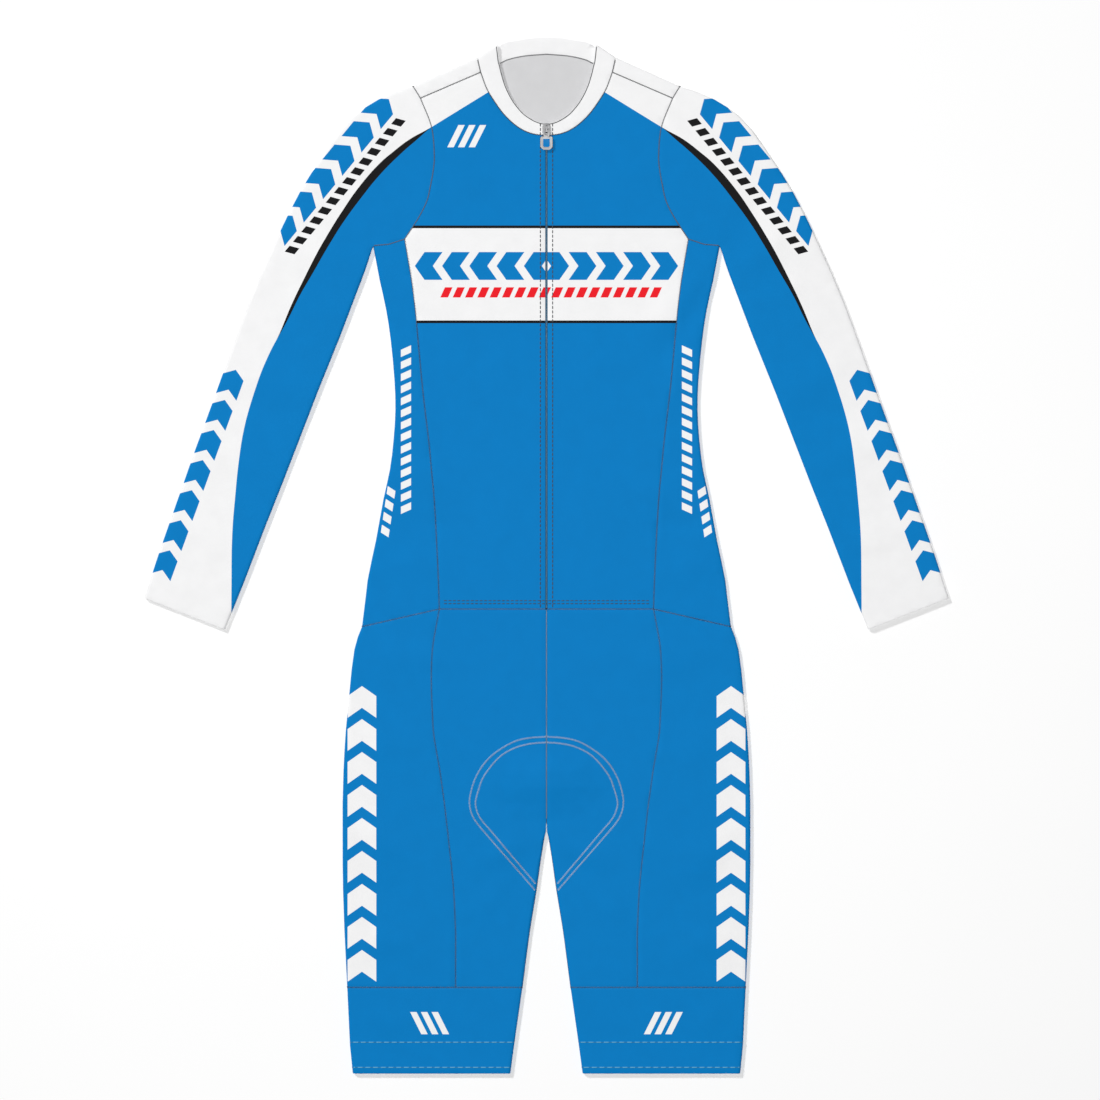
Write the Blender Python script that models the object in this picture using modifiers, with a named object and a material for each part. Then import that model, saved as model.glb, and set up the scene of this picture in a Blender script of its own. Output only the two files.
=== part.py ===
"""A long-sleeved cyclocross skinsuit with short legs, lying face up on a flat surface.

Metres, +Z up. The neck is at +Y, the legs at -Y and the wearer's left at +X. The origin is on the
surface, under the middle of the suit. The tables are in millimetres and give one half of the suit:
x outwards from the centre line, y up from half its length. Each cloth piece is laid out by its
outer side, in rows of points, and Solidify makes its wall inwards. A row starts on the front near
the centre, runs outwards, round the folded edge, and back under the suit.
"""

import math

import bmesh
import bpy
from mathutils import Vector

MM = 0.001

# Cloth and seams
WALL = 1.2  # two-way stretch knit with its seam allowance
SEAM = 0.3  # between two pieces
FOLD_HEIGHT = 5.0  # over a folded edge, and over the flat suit
FOLD_RADIUS = FOLD_HEIGHT / 2
QUARTER_FOLD = FOLD_RADIUS * math.pi / 2
QUARTER_STEPS = 3

# Levels along the suit
WAIST_Y = -58
CROTCH_Y = -286
BAND_Y = -466
HEM_Y = -559
CROTCH_EASE = 20  # length in which the centre seams turn into the folded inner legs

# Torso: level, folded side edge, seam of the side panel
WAIST_SEAM_X = 115.5
TORSO = (
    (WAIST_Y, 196.0, WAIST_SEAM_X),
    (-27, 193.0, 116.5),
    (16, 184.0, 118.5),
    (60, 176.0, 121.0),
    (92, 169.0, 124.0),
    (124, 165.0, 127.0),
    (157, 163.0, 131.0),
    (189, 164.0, 134.5),
    (232, 168.0, 138.5),
    (265, 173.0, 141.5),
    (297, 180.0, 145.5),
)
WAIST_EDGE = (199, -77)  # where the waist seam meets the folded side
ARMPIT = (187, 334)
UNDERARM = (170, 335.4)
ARMHOLE_FOOT = (153, 341)  # where the side panel's seam meets the armhole

# Legs: level, folded outer edge, seam of the side panel, folded inner edge
LEGS = (
    (BAND_Y, 215.0, 98.0, 26.0),
    (-435, 216.5, 98.0, 22.0),
    (-405, 218.0, 98.0, 18.0),
    (-362, 219.5, 100.0, 11.0),
    (-330, 220.0, 103.0, 6.5),
    (-308, 220.0, 105.5, 3.0),
    (-298, 220.0, 106.5, 1.5),
    (CROTCH_Y, 220.0, 108.0, 0.0),
    (-268, 220.0, 110.0, 0.0),
    (-250, 219.5, 112.5, 0.0),
    (-232, 219.0, 115.0, 0.0),
    (-212, 218.0, 118.5, 0.0),
    (-189, 216.5, 122.0, 0.0),
    (-146, 212.5, 124.0, 0.0),
    (-124, 210.3, 124.1, 0.0),
    (-102, 207.3, 123.0, 0.0),
    (-88, 203.5, 121.1, 0.0),
)
BANDS = ((HEM_Y, 209.0, 39.0), (-529, 212.0, 35.0), (-497, 213.5, 30.5), (BAND_Y, 215.0, 26.0))

# Neck and shoulders
NECK_POINT = (75, 537)  # neck end of the folded shoulder
SHOULDER_POINT = (144, 506)  # arm end of the folded shoulder
SHOULDER_HEADING = (-0.5, -0.866)  # from the folded shoulder into the suit
YOKE_NECK = (71, 521)  # the forward shoulder seam, neck end
YOKE_ARM = (136, 493)
ARMHOLE = (
    ARMHOLE_FOOT, (138, 364), (129, 382), (125, 399), (122, 416), (121, 432), (124, 462), YOKE_ARM,
)
ARMHOLE_STEPS = 24
NECK_STEPS = 13  # the armhole's last steps, level with the front neck
BACK_NECK_STEPS = 10
COLLAR_SEAM = (
    (0, 453), (7.5, 453.3), (15, 454.6), (23, 457.4), (31.5, 462.4), (39.5, 469), (47.8, 477.8),
    (56, 489.3), (64.3, 503), YOKE_NECK,
)
COLLAR_FREE = (
    (0, 465.5), (7.4, 466.7), (15.6, 470.3), (24.8, 476.8), (33.6, 487), (39.4, 496.5),
    (44.2, 507), (47.9, 519), (50.3, 529), (51.4, 533),
)
COLLAR_FOLD_TOP = (53.5, 551.5)  # free edge of the collar at its fold
BACK_NECK_SEAM = ((63, 533), (51, 531), (42, 535), (24, 539), (0, 541))
BACK_NECK_FREE = ((45, 553.5), (37, 555), (28, 556.5), (15, 558.5), (0, 559))

# Sleeve sections: outer edge x, y and heading out of it, inner edge x, y and heading into it
SLEEVE = (
    (144, 506, 58, 187, 334, 172),
    (163, 500, 65, 188, 331, 100),
    (181, 492, 61, 189, 328, 88),
    (196, 483, 55, 190, 325, 76),
    (208, 474, 47, 191, 322, 66),
    (222, 459, 39, 192.5, 317, 56),
    (240, 433, 34, 194.5, 311, 45),
    (265, 394, 30, 197, 304, 34),
    (292, 340, 25, 200, 296, 25),
    (320, 276, 22, 222, 238, 21),
    (344, 211, 20, 247, 176, 20),
    (361, 163, 20, 265, 129, 20),
    (379, 114, 20, 284, 80, 20),
    (398, 60, 20, 305, 27, 20),
    (417, 6, 20, 326, -28, 20),
    (434, -46, 21, 347, -80, 21),
)
ARMHOLE_FADE = 3  # sections in which the armhole's own curve is lost
CLOSE_SECTIONS = 6  # close together at the armpit: the others get a row between each two

# Zip
ZIP_BOTTOM, ZIP_TOP = -57.8, 464.5
COIL_HALF = 0.9
CLOTH_TO_ZIP = COIL_HALF + SEAM
TAPE_HALF = 13
TAPE_WALL = 1.0
TAPE_BASE = 2.4
SLIDER_Y = 459
SLIDER_HALF = 4.3
SLIDER_LENGTH = 13
SLIDER_WALL = 1.2
BRIDGE_HALF = 1.0
BRIDGE_WALL = 1.0
BRIDGE_REACH = 4.2
BRIDGE_CLEAR = 2.4
HINGE_RADIUS = 0.7
TAB_LENGTH = 22
TAB_HALF = 6.5
TAB_NECK_HALF = 3.1
TAB_SLOT_HALF = 1.6
TAB_SLOT_LENGTH = 5.2
GRIP_START = 7.0
GRIP_BASE, GRIP_WALL = -2.0, 2.4

# Seat pad
PAD_RISE, PAD_X, PAD_Y = 4.0, 70, 45
PAD_CENTRE_Y = -240
PAD_FIRMNESS = 0.85  # share of the cloth's rise that the pad fills
# level, inner edge, outer edge
PAD = (
    (-352, 20.0, 24.0),
    (-330, 13.5, 40.0),
    (-310, 10.0, 54.0),
    (-292, 8.0, 69.0),
    (-284, 0.0, 76.0),
    (-266, 0.0, 80.0),
    (-245, 0.0, 77.0),
    (-225, 0.0, 67.0),
    (-210, 0.0, 49.0),
    (-202, 0.0, 30.0),
)


def material(name, colour, roughness, metallic=0.0):
    made = bpy.data.materials.new(name)
    made.use_nodes = True
    shader = made.node_tree.nodes["Principled BSDF"]
    shader.inputs["Base Color"].default_value = (*colour, 1)
    shader.inputs["Roughness"].default_value = roughness
    shader.inputs["Metallic"].default_value = metallic
    return made


def pad_lift(x, y):
    """How far the seat pad lifts the front of the suit."""
    off = (x / PAD_X) ** 2 + ((y - PAD_CENTRE_Y) / PAD_Y) ** 2
    return PAD_RISE * (1 - off) ** 2 if off < 1 else 0


def front_point(place):
    return (place[0], place[1], FOLD_HEIGHT + pad_lift(place[0], place[1]))


def back_point(place):
    return (place[0], place[1], 0)


def walk(route, distance):
    """The point at this distance along a route of points."""
    for start, end in zip(route, route[1:]):
        length = math.dist(start, end)
        if distance <= length:
            return Vector(start).lerp(Vector(end), distance / length)
        distance -= length
    return Vector(route[-1])


def route_length(route):
    return sum(math.dist(start, end) for start, end in zip(route, route[1:]))


def smooth(route, steps=6):
    """A Catmull-Rom curve through the points of a route."""
    points = [Vector(point) for point in route]
    ends = [2 * points[0] - points[1], *points, 2 * points[-1] - points[-2]]
    curve = []
    for before, start, end, after in zip(ends, ends[1:], ends[2:], ends[3:]):
        for step in range(steps):
            t = step / steps
            curve.append(
                0.5
                * (
                    2 * start
                    + (end - before) * t
                    + (2 * before - 5 * start + 4 * end - after) * t**2
                    + (3 * start - before - 3 * end + after) * t**3
                )
            )
    return [*curve, points[-1]]


def evenly(route, count):
    """Count + 1 points at even distances along the curve through a route."""
    curve = smooth(route)
    length = route_length(curve)
    return [walk(curve, length * step / count) for step in range(count + 1)]


def shifted(route, distance):
    """A route moved to the left of its own direction."""
    points = [Vector(point) for point in route]
    moved = []
    for index, point in enumerate(points):
        along = points[min(index + 1, len(points) - 1)] - points[max(index - 1, 0)]
        along.normalize()
        moved.append(point + Vector((-along.y, along.x)) * distance)
    return moved


def fold_profile(turn):
    """Depth from a folded edge and height, for a turn of 1 at its top and -1 at its underside."""
    angle = turn * math.pi / 2
    return FOLD_RADIUS * (1 - math.cos(angle)), FOLD_RADIUS * (1 + math.sin(angle))


def turns(first, last):
    count = round(abs(last - first) * QUARTER_STEPS)
    return [first + (last - first) * step / count for step in range(count + 1)]


def over_edge(route, flat):
    """A row along a route on the front, round the fold at its end, and back along it underneath.

    Flat holds the distances of the row's flat points, from the start of the route.
    """
    length = route_length(route)
    row = [front_point(walk(route, distance)) for distance in flat]
    for turn in turns(1, -1):
        depth, height = fold_profile(turn)
        row.append((*walk(route, length - depth), height))
    return row + [back_point(walk(route, distance)) for distance in reversed(flat)]


def round_tube(route, shares):
    """A closed row, which starts and ends at the fold where the route starts."""
    width = route_length(route) - 2 * FOLD_RADIUS
    start = [(*walk(route, depth), height) for depth, height in map(fold_profile, turns(0, 1))]
    over = over_edge(route, [FOLD_RADIUS + width * share for share in shares])
    finish = [(*walk(route, depth), height) for depth, height in map(fold_profile, turns(-1, 0))]
    return start[:-1] + over + finish[1:]


def flat_shares(across):
    return [step / across for step in range(across)]


def side_wrap(start, end, across):
    """A row of a side panel: its flat points start at the seam."""
    width = math.dist(start, end) - FOLD_RADIUS
    return over_edge(straight(start, end), [width * share for share in flat_shares(across)])


def ease_ends(rows):
    """Draws the first and the last row in by half a seam's gap."""

    def drawn(row, neighbour):
        eased = []
        for point, other in zip(row, neighbour):
            way = Vector(other) - Vector(point)
            way.z = 0
            eased.append(tuple(Vector(point) + way.normalized() * SEAM / 2))
        return eased

    return [drawn(rows[0], rows[1]), *rows[1:-1], drawn(rows[-1], rows[-2])]


def mirrored(rows):
    return [[(-x, y, z) for x, y, z in reversed(row)] for row in rows]


def add_rows(bm, rows):
    """A grid with its vertices moved to the rows' points."""
    across, along = len(rows[0]) - 1, len(rows) - 1
    grid = bmesh.ops.create_grid(bm, x_segments=across, y_segments=along, size=0.5)
    for vert in grid["verts"]:
        column = round((vert.co.x + 0.5) * across)
        row = round((vert.co.y + 0.5) * along)
        vert.co = Vector(rows[row][column]) * MM


def mesh_object(name, bm, made_of, place=(0, 0, 0)):
    mesh = bpy.data.meshes.new(name)
    bm.to_mesh(mesh)
    bm.free()
    mesh.materials.append(made_of)
    mesh.shade_smooth()
    mesh.set_sharp_from_angle(angle=math.radians(40))
    made = bpy.data.objects.new(name, mesh)
    made.location = Vector(place) * MM
    parts.objects.link(made)
    return made


def cloth(name, grids, made_of):
    """One cloth piece from one or more grids of rows that share their edges."""
    bm = bmesh.new()
    for rows in grids:
        add_rows(bm, rows)
    bmesh.ops.remove_doubles(bm, verts=bm.verts, dist=1e-6)
    piece = mesh_object(name, bm, made_of)
    wall = piece.modifiers.new("Wall", "SOLIDIFY")
    wall.thickness = WALL * MM
    wall.offset = -1
    return piece


def pair(name, rows, made_of):
    cloth(f"{name}_left", [rows], made_of)
    cloth(f"{name}_right", [mirrored(rows)], made_of)


def straight(start, end):
    return [Vector(start), Vector(end)]


def armhole_line():
    return evenly(ARMHOLE, ARMHOLE_STEPS)


def torso_lines():
    """The torso's levels, with another one between each two."""
    return smooth(TORSO, 2)


def front_rows():
    """From the zip out to the side seam and the armhole, and up to the forward shoulder seam."""
    sides = [(seam, level) for level, _, seam in torso_lines()]
    outer = shifted([*sides, *armhole_line()], SEAM / 2)
    beside_zip = ARMHOLE_STEPS - NECK_STEPS
    foot, top = ARMHOLE_FOOT[1], COLLAR_SEAM[0][1]
    levels = [level for level, _, _ in torso_lines()]
    levels += [foot + (top - foot) * step / beside_zip for step in range(beside_zip + 1)]
    neck = shifted(evenly(COLLAR_SEAM, NECK_STEPS), -SEAM / 2)[1:]
    inner = [Vector((CLOTH_TO_ZIP, level)) for level in levels] + neck
    across = 4
    rows = [
        [front_point(start.lerp(end, step / across)) for step in range(across + 1)]
        for start, end in zip(inner, outer)
    ]
    return ease_ends(rows)


def underarm_flat(start):
    return [0, math.dist(start, UNDERARM)]


def side_rows():
    """From the front side seam round the folded edge to the back side seam."""
    torso = torso_lines()
    starts = [(seam, level) for level, _, seam in torso] + [ARMHOLE_FOOT]
    ends = [WAIST_EDGE] + [(edge, level) for level, edge, _ in torso[1:]] + [ARMPIT]
    starts = shifted(starts, -SEAM / 2)
    rows = [side_wrap(start, end, 2) for start, end in zip(starts[:-1], ends[:-1])]
    rows.append(over_edge([starts[-1], Vector(UNDERARM), Vector(ARMPIT)], underarm_flat(starts[-1])))
    return ease_ends(rows)


def between(start, end, steps):
    """Points from start to end, the outermost two drawn in by a seam's gap."""
    points = [Vector(start).lerp(Vector(end), step / steps) for step in range(steps + 1)]
    way = (points[-1] - points[0]).normalized() * SEAM
    points[0] += way
    points[-1] -= way
    return points


def with_other_half(row):
    return [*row, *[Vector((-point.x, point.y)) for point in reversed(row[:-1])]]


def back_grids():
    """The back, with its forward shoulders turned over the folded shoulder on to the front."""
    heading = Vector(SHOULDER_HEADING)
    fold_line = between(SHOULDER_POINT, NECK_POINT, 3)
    top = [point + heading * FOLD_RADIUS for point in fold_line]
    top += shifted(back_neck_line(), SEAM / 2)[1:]
    top[-1].x = 0
    sides = [(seam, level) for level, _, seam in torso_lines()]
    outer = shifted([*sides, *armhole_line(), top[0]], SEAM / 2)[:-1]
    shares = [point.x / top[0].x for point in top]
    rows = []
    for index, side in enumerate(outer):
        lifted = max(0, index - len(sides)) / (len(outer) - len(sides))
        half = [
            Vector((side.x * share, side.y + (point.y - top[0].y) * lifted**2))
            for share, point in zip(shares, top)
        ]
        rows.append(with_other_half(half))
    rows.append(with_other_half(top))
    rows = [[back_point(point) for point in row] for row in rows]
    rows[0] = [(x, y + SEAM / 2, z) for x, y, z in rows[0]]
    yoke = []
    for turn in turns(-1, 1):
        depth, height = fold_profile(turn)
        yoke.append([(*(point + heading * depth), height) for point in fold_line])
    seam_line = shifted(between(YOKE_ARM, YOKE_NECK, 3), -SEAM / 2)
    yoke.append([front_point(over.lerp(end, 0.5)) for over, end in zip(top, seam_line)])
    yoke.append([front_point(point) for point in seam_line])
    return [rows, yoke, mirrored(yoke)]


def sleeve_rows():
    """Closed rows from the cuff up to the armhole."""
    seam = shifted([ARMPIT, UNDERARM, *armhole_line(), SHOULDER_POINT], -SEAM / 2)
    width = route_length(seam) - 2 * FOLD_RADIUS
    reached = [route_length(seam[: index + 1]) for index in range(1, len(seam) - 1)]
    shares = [0] + [(distance - FOLD_RADIUS) / width for distance in reached]
    steps = 48

    def hermite(start, start_pull, end, end_pull, t):
        return (
            start * (2 * t**3 - 3 * t**2 + 1)
            + start_pull * (t**3 - 2 * t**2 + t)
            + end * (3 * t**2 - 2 * t**3)
            + end_pull * (t**3 - t**2)
        )

    def section(outer_x, outer_y, outer_turn, inner_x, inner_y, inner_turn):
        outer, inner = Vector((outer_x, outer_y)), Vector((inner_x, inner_y))
        chord = (outer - inner).length
        pulls = [
            Vector((math.cos(math.radians(turn)), math.sin(math.radians(turn)))) * chord
            for turn in (inner_turn, outer_turn)
        ]
        return [hermite(inner, pulls[0], outer, pulls[1], step / steps) for step in range(steps + 1)]

    far = smooth(SLEEVE[CLOSE_SECTIONS - 1 :], 2)
    sections = [*SLEEVE[:CLOSE_SECTIONS], *far[1:]]
    plain = section(*sections[0])
    true_curve = [walk(seam, route_length(seam) * step / steps) for step in range(steps + 1)]
    rows = [round_tube(seam, shares)]
    for index, values in enumerate(sections[1:], 1):
        kept = max(0, 1 - index / ARMHOLE_FADE)
        route = [
            point + (true - simple) * kept
            for point, true, simple in zip(section(*values), true_curve, plain)
        ]
        rows.append(round_tube(route, shares))
    rows.reverse()
    return rows


def back_neck_line():
    """The back neck seam, from where the folded shoulder turns under to the centre."""
    start = Vector(NECK_POINT) + Vector(SHOULDER_HEADING) * FOLD_RADIUS
    return evenly([start, *BACK_NECK_SEAM], BACK_NECK_STEPS)


def collar_rows():
    """From the zip round the front, over the fold at the neck point, and round the back."""
    heading = Vector(SHOULDER_HEADING)
    top = Vector(COLLAR_FOLD_TOP)
    neck = Vector(NECK_POINT)
    past_fold = heading * FOLD_RADIUS
    seam = [*evenly(COLLAR_SEAM, NECK_STEPS), neck + past_fold]
    seam = shifted(seam, SEAM / 2)
    neck += (top - neck).normalized() * SEAM / 2
    free = evenly([*COLLAR_FREE, top + past_fold], NECK_STEPS + 1)
    seam[0] = Vector((CLOTH_TO_ZIP, seam[0].y))
    free[0] = Vector((CLOTH_TO_ZIP, free[0].y))
    across = 3
    shares = [step / across for step in range(across + 1)]
    rows = []
    for low, high in zip(seam[:-1], free[:-1]):
        rows.append([front_point(high.lerp(low, share)) for share in shares])
    for turn in turns(1, -1):
        depth, height = fold_profile(turn)
        rows.append([(*(top.lerp(neck, share) + heading * depth), height) for share in shares])
    seam = shifted(back_neck_line(), -SEAM / 2)
    free = evenly([top + past_fold, *BACK_NECK_FREE], BACK_NECK_STEPS)
    seam[-1].x = 0
    for low, high in zip(seam[1:], free[1:]):
        rows.append([back_point(high.lerp(low, share)) for share in shares])
    other_half = [[(-x, y, z) for x, y, z in row] for row in reversed(rows[:-1])]
    return rows + other_half


def inner_leg(level, inner, under):
    """The first points of a row, which fold round below the crotch. Under is -1 on the back."""
    dropped = min(max((CROTCH_Y - level) / CROTCH_EASE, 0), 1)
    first = QUARTER_FOLD * (1 - dropped) + SEAM * (1 + 0.7 * dropped)
    rim, last = first + SEAM, QUARTER_FOLD + 6
    edge = -FOLD_RADIUS * (1 - dropped) + inner * dropped
    points = []
    for reach in [first, *[rim + (last - rim) * step / 4 for step in range(5)]]:
        depth, height = fold_profile(min(reach / QUARTER_FOLD, 1))
        depth += max(reach - QUARTER_FOLD, 0)
        points.append((edge + depth, level, height if under > 0 else FOLD_HEIGHT - height))
    return points


def shorts_panel_rows(under):
    """From the centre seam or the inner leg out to the side panel's seam."""
    lines = [*LEGS, (WAIST_Y, WAIST_EDGE[0], WAIST_SEAM_X, 0.0)]
    seams = shifted([(seam, level) for level, _, seam, _ in lines], SEAM / 2)
    lay = front_point if under > 0 else back_point
    rows = []
    for (level, _, _, inner), seam in zip(lines, seams):
        start = inner_leg(level, inner, under)
        begin = Vector(start[-1][:2])
        flat = [lay(begin.lerp(Vector((seam.x, level)), step / 5)) for step in range(1, 6)]
        start = [(x, y, z + (pad_lift(x, y) if under > 0 else 0)) for x, y, z in start]
        rows.append(start + flat)
    if under < 0:
        rows = [list(reversed(row)) for row in rows]
    return ease_ends(rows)


def shorts_side_rows():
    starts = [(seam, level) for level, _, seam, _ in LEGS] + [(WAIST_SEAM_X, WAIST_Y)]
    ends = [(edge, level) for level, edge, _, _ in LEGS] + [WAIST_EDGE]
    starts = shifted(starts, -SEAM / 2)
    return ease_ends([side_wrap(start, end, 3) for start, end in zip(starts, ends)])


def band_rows():
    shares = flat_shares(3)
    rows = [
        round_tube(straight((inner, level), (edge, level)), shares) for level, edge, inner in BANDS
    ]
    rows[-1] = [(x, y - SEAM / 2, z) for x, y, z in rows[-1]]
    return rows


def outline_block(bm, outline, thickness, place):
    """A flat outline made solid: place turns each outline point and height into x, y and z."""
    corners = [bm.verts.new(Vector(place(u, v, 0)) * MM) for u, v in outline]
    grown = bmesh.ops.extrude_face_region(bm, geom=[bm.faces.new(corners)])
    rise = (Vector(place(0, 0, thickness)) - Vector(place(0, 0, 0))) * MM
    moved = [item for item in grown["geom"] if isinstance(item, bmesh.types.BMVert)]
    bmesh.ops.translate(bm, verts=moved, vec=rise)


def zip_tape(name, side, made_of):
    """Half of the zip: the tape under the cloth, and its coil standing up between the fronts."""
    edge = SEAM / 2
    outline = (
        (edge, TAPE_BASE), (TAPE_HALF, TAPE_BASE), (TAPE_HALF, TAPE_BASE + TAPE_WALL),
        (COIL_HALF, TAPE_BASE + TAPE_WALL), (COIL_HALF, FOLD_HEIGHT), (edge, FOLD_HEIGHT),
    )
    bm = bmesh.new()
    outline_block(
        bm, outline, ZIP_TOP - ZIP_BOTTOM, lambda u, v, w: (side * u, ZIP_BOTTOM + w, v)
    )
    bmesh.ops.recalc_face_normals(bm, faces=bm.faces)
    return mesh_object(name, bm, made_of)


def fused(piece, others):
    """A Boolean union with helper solids, which stay out of the parts."""
    for other in others:
        parts.objects.unlink(other)
        cutters.objects.link(other)
        other.hide_render = True
        other.display_type = "WIRE"
        join = piece.modifiers.new(other.name, "BOOLEAN")
        join.operation = "UNION"
        join.object = other


def block(name, outline, thickness, place, made_of, origin=(0, 0, 0)):
    bm = bmesh.new()
    outline_block(bm, outline, thickness, place)
    bmesh.ops.recalc_face_normals(bm, faces=bm.faces)
    return mesh_object(name, bm, made_of, origin)


def zip_slider(made_of):
    """The slider's upper plate over the coil, with the bridge that holds the pull tab."""
    base = FOLD_HEIGHT + SEAM
    half, end, waist = SLIDER_HALF, SLIDER_LENGTH / 2, SLIDER_HALF - 1.2
    outline = (
        (-waist, -end), (waist, -end), (half, -end + 2), (half, end - 3),
        (half - 1.4, end), (-half + 1.4, end), (-half, end - 3), (-half, -end + 2),
    )
    origin = (0, SLIDER_Y, base)
    plate = block("zip_slider", outline, SLIDER_WALL, lambda u, v, w: (u, v, w), made_of, origin)
    foot = SLIDER_WALL - 0.4
    inner_top = SLIDER_WALL + BRIDGE_CLEAR
    outer_top = inner_top + BRIDGE_WALL
    reach, inner = BRIDGE_REACH, BRIDGE_REACH - BRIDGE_WALL
    arch = (
        (-reach, foot), (-inner, foot), (-inner, inner_top), (inner, inner_top), (inner, foot),
        (reach, foot), (reach, outer_top - 1), (reach - 1, outer_top),
        (1 - reach, outer_top), (-reach, outer_top - 1),
    )
    bridge = block(
        "slider_bridge", arch, 2 * BRIDGE_HALF, lambda u, v, w: (w - BRIDGE_HALF, u, v), made_of, origin
    )
    fused(plate, [bridge])


def zip_pull(metal):
    """The pull tab, with its origin on the hinge bar that runs under the slider's bridge."""
    height = FOLD_HEIGHT + SEAM + SLIDER_WALL + BRIDGE_CLEAR / 2
    hinge = (0, SLIDER_Y, height)
    neck, slot = TAB_NECK_HALF, TAB_SLOT_HALF
    fork = (
        (-neck, 0), (-slot, 0), (-slot, -TAB_SLOT_LENGTH), (slot, -TAB_SLOT_LENGTH), (slot, 0),
        (neck, 0), (neck, -GRIP_START - 1), (-neck, -GRIP_START - 1),
    )
    tab = block(
        "zip_pull", fork, 2 * HINGE_RADIUS, lambda u, v, w: (u, v, w - HINGE_RADIUS), metal, hinge
    )
    half, start, end = TAB_HALF, -GRIP_START, -TAB_LENGTH
    grip_outline = (
        (-half + 2, start), (half - 2, start), (half, start - 2), (half, end + 3),
        (half - 3, end), (-half + 3, end), (-half, end + 3), (-half, start - 2),
    )
    grip = block(
        "pull_grip", grip_outline, GRIP_WALL, lambda u, v, w: (u, v, w + GRIP_BASE), metal, hinge
    )
    bpy.ops.mesh.primitive_cylinder_add(
        vertices=16, radius=HINGE_RADIUS * MM, depth=2 * neck * MM,
        location=Vector(hinge) * MM, rotation=(0, math.pi / 2, 0),
    )
    bar = bpy.context.object
    bar.name = "pull_bar"
    for home in bar.users_collection:
        home.objects.unlink(bar)
    parts.objects.link(bar)
    fused(tab, [grip, bar])


def seat_pad(made_of):
    """The chamois between front and back: one half, mirrored over the centre line."""
    across = 5
    rows = []
    for level, inner, outer in PAD:
        row = []
        for step in range(across + 1):
            x = inner + (outer - inner) * step / across
            top = FOLD_HEIGHT - WALL - SEAM + PAD_FIRMNESS * pad_lift(x, level)
            row.append((x, level, top))
        rows.append(row)
    bm = bmesh.new()
    add_rows(bm, rows)
    grown = bmesh.ops.extrude_face_region(bm, geom=bm.faces[:])
    for item in grown["geom"]:
        if isinstance(item, bmesh.types.BMVert):
            item.co.z = (WALL + SEAM) * MM
    at_plane = [face for face in bm.faces if all(abs(vert.co.x) < 1e-7 for vert in face.verts)]
    bmesh.ops.delete(bm, geom=at_plane, context="FACES_ONLY")
    bmesh.ops.recalc_face_normals(bm, faces=bm.faces)
    pad = mesh_object("seat_pad", bm, made_of)
    mirror = pad.modifiers.new("Other half", "MIRROR")
    mirror.merge_threshold = 0.00001


for old in list(bpy.data.objects):
    bpy.data.objects.remove(old)
parts = bpy.data.collections.new("cyclocross_skinsuit")
cutters = bpy.data.collections.new("helpers")
for collection in (parts, cutters):
    bpy.context.scene.collection.children.link(collection)
cutters.hide_render = True

blue = material("blue_knit", (0.001, 0.202, 0.539), 0.6)
white = material("white_knit", (0.86, 0.86, 0.86), 0.6)
pad_foam = material("pad_foam", (0.5, 0.5, 0.5), 0.9)
zip_nylon = material("zip_nylon", (0.3, 0.32, 0.35), 0.5)
metal = material("zip_metal", (0.5, 0.5, 0.51), 0.35, 1.0)

pair("front", front_rows(), blue)
pair("side", side_rows(), blue)
cloth("back", back_grids(), blue)
pair("sleeve", sleeve_rows(), white)
cloth("collar", [collar_rows()], white)
pair("shorts_front", shorts_panel_rows(1), blue)
pair("shorts_back", shorts_panel_rows(-1), blue)
pair("shorts_side", shorts_side_rows(), blue)
pair("leg_band", band_rows(), blue)
zip_tape("zip_tape_left", 1, zip_nylon)
zip_tape("zip_tape_right", -1, zip_nylon)
zip_slider(metal)
zip_pull(metal)
seat_pad(pad_foam)
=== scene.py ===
# %% [markdown]
# # A cyclocross skinsuit, laid out flat
#
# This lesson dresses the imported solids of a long-sleeved skinsuit in cloth, thread and zip metal. The suit
# lies face up on a table. Metres are used, the neck is at +Y, and the wearer's left is at +X. The tables are
# in millimetres and give one half of the suit, with x outwards from the centre line.

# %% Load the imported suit
import math

import bmesh
import bpy
import numpy as np
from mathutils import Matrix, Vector
from mathutils.bvhtree import BVHTree


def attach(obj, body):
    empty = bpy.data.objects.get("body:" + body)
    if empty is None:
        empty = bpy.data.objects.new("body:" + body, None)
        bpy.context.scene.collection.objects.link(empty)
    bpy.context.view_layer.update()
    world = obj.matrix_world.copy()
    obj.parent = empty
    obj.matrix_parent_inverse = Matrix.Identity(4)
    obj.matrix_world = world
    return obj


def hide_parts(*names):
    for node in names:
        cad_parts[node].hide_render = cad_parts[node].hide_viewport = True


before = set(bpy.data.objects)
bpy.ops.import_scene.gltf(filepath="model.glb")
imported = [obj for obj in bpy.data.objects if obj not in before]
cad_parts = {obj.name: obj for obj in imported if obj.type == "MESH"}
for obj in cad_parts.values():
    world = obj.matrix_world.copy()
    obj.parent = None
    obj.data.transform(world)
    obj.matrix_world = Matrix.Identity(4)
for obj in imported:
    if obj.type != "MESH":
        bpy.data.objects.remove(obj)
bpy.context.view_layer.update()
MM = 0.001
print("solids:", ", ".join(sorted(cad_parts)))

# %% [markdown]
# ## The lines that the suit is cut along
#
# Every seam is a smooth curve through a few measured points. The thread that closes a seam and the rows of
# topstitching read these same points, so that nothing drifts apart. A curve could be a Bezier object, but a
# list of points is easier to mirror and to turn under the suit.

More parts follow.
